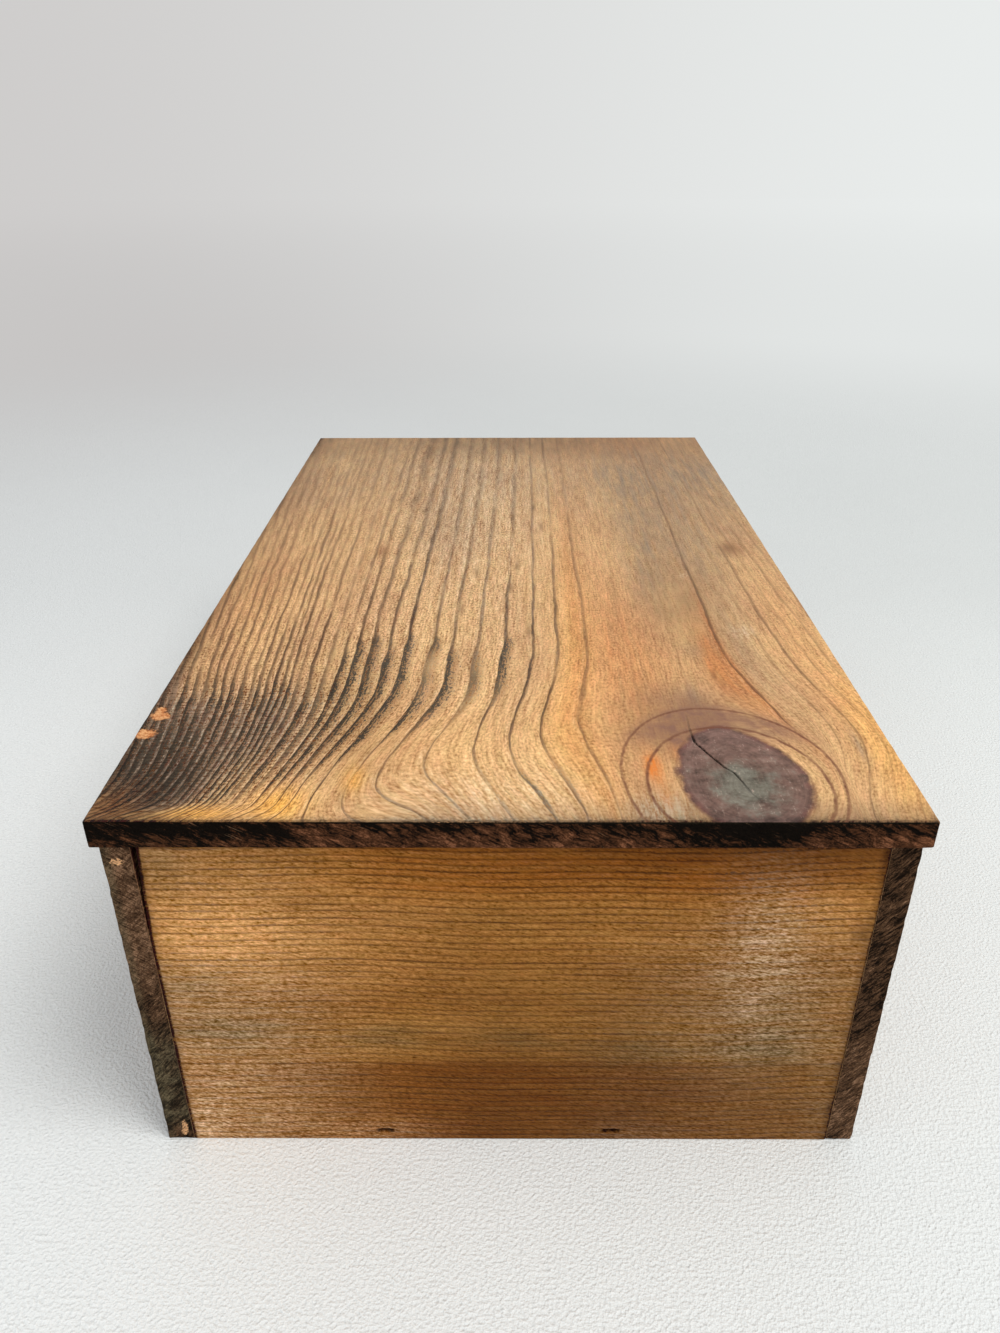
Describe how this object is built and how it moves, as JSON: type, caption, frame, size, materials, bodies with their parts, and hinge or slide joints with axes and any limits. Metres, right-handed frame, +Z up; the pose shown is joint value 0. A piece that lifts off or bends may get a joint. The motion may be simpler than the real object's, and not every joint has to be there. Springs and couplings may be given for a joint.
{
  "type": "wooden storage box",
  "caption": "Shallow nailed cedar box for papers and keepsakes, with a loose flat lid that drops in place on battens and lifts off.",
  "frame": {"origin": "on the table under the middle of the box", "axes": "+X to the right seen from the front, +Y towards the rear along the long side boards, +Z up; the front end board faces -Y"},
  "size_m": [0.242, 0.4074, 0.1384],
  "materials": {
    "lid_wood": "aged, brushed along the grain",
    "end_wood": "aged, satin",
    "side_wood": "aged, satin",
    "inner_wood": "bare, planed",
    "batten_wood": "bare, planed",
    "nail_iron": "dull, rusty"
  },
  "bodies": {
    "box": {"left_side_board": "side_wood", "right_side_board": "side_wood", "front_board": "end_wood", "rear_board": "end_wood", "bottom_board": "inner_wood", "nails_front_left_corner": "nail_iron", "nails_rear_left_corner": "nail_iron", "nails_front_right_corner": "nail_iron", "nails_rear_right_corner": "nail_iron", "nails_bottom_left": "nail_iron", "nails_bottom_right": "nail_iron", "nails_bottom_front": "nail_iron", "nails_bottom_rear": "nail_iron"},
    "lid": {"lid_board": "lid_wood", "lid_batten_front": "batten_wood", "lid_batten_rear": "batten_wood", "nails_batten_front": "nail_iron", "nails_batten_rear": "nail_iron"}
  },
  "joints": [
    {"name": "lid_lift", "type": "slide", "parent": "box", "child": "lid", "axis": [0, 0, 1], "range_m": [0, 0.15]}
  ]
}
